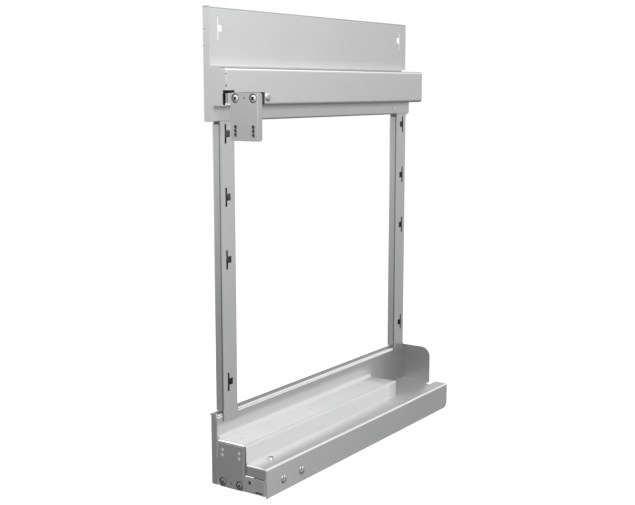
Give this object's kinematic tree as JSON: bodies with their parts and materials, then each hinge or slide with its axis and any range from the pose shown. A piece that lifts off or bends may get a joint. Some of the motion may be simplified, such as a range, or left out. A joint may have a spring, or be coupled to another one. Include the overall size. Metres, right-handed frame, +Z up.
{
  "type": "pull-out cargo frame",
  "caption": "Folded steel frame with a stepped base and door brackets that pulls out of a narrow base unit on full-extension ball runners.",
  "frame": {"origin": "centre of the cabinet screws, on the face of the cabinet's side wall", "axes": "+X from the side wall to the goods side, +Y from the door to the back of the cabinet, +Z up"},
  "size_m": [0.1016, 0.5123, 0.6258],
  "materials": {
    "silver_coat": "satin silver powder coat with a fine orange peel",
    "bracket_coat": "satin grey powder coat",
    "zinc": "bright zinc plate",
    "rail_steel": "cold-rolled steel with bright zinc plate",
    "ball_steel": "polished",
    "black_plastic": "moulded black plastic"
  },
  "bodies": {
    "cabinet_rails": {"cabinet_rail_top": "rail_steel", "cabinet_rail_bottom": "rail_steel", "wall_pads_top": "black_plastic", "wall_pads_bottom": "black_plastic", "rear_stop_top": "black_plastic", "rear_stop_bottom": "black_plastic"},
    "middle_rails": {"middle_rail_top": "rail_steel", "middle_rail_bottom": "rail_steel"},
    "outer_ball_cages": {"outer_cage_top": "zinc", "outer_cage_bottom": "zinc", "outer_balls_top": "ball_steel", "outer_balls_bottom": "ball_steel"},
    "inner_ball_cages": {"inner_cage_top": "zinc", "inner_cage_bottom": "zinc", "inner_balls_top": "ball_steel", "inner_balls_bottom": "ball_steel"},
    "frame": {"sliding_rail_top": "rail_steel", "sliding_rail_bottom": "rail_steel", "rail_rivets_top": "rail_steel", "rail_rivets_bottom": "rail_steel", "upper_shell": "silver_coat", "header_web": "silver_coat", "front_post": "silver_coat", "rear_post": "silver_coat", "header_rivets": "rail_steel", "base_back": "silver_coat", "runner_cover": "silver_coat", "base_floor": "silver_coat", "end_wall": "silver_coat", "upper_arm": "zinc", "upper_bracket": "bracket_coat", "upper_clamp_screws": "zinc", "upper_clamp_nuts": "zinc", "upper_arm_screw": "zinc", "lower_arm": "zinc", "lower_bracket": "bracket_coat", "lower_clamp_screws": "zinc", "lower_clamp_nuts": "zinc", "lower_arm_screws": "zinc", "floor_screw": "zinc"}
  },
  "joints": [
    {"name": "pull_out", "type": "slide", "parent": "cabinet_rails", "child": "frame", "axis": [0, -1, 0], "range_m": [0, 0.45]},
    {"name": "middle_slide", "type": "slide", "parent": "cabinet_rails", "child": "middle_rails", "axis": [0, -1, 0], "range_m": [0, 0.225]},
    {"name": "outer_cage_slide", "type": "slide", "parent": "cabinet_rails", "child": "outer_ball_cages", "axis": [0, -1, 0], "range_m": [0, 0.1125]},
    {"name": "inner_cage_slide", "type": "slide", "parent": "cabinet_rails", "child": "inner_ball_cages", "axis": [0, -1, 0], "range_m": [0, 0.3375]}
  ],
  "couplings": [
    {"joint": "middle_slide", "follows": "pull_out", "ratio": 0.5},
    {"joint": "outer_cage_slide", "follows": "pull_out", "ratio": 0.25},
    {"joint": "inner_cage_slide", "follows": "pull_out", "ratio": 0.75}
  ]
}
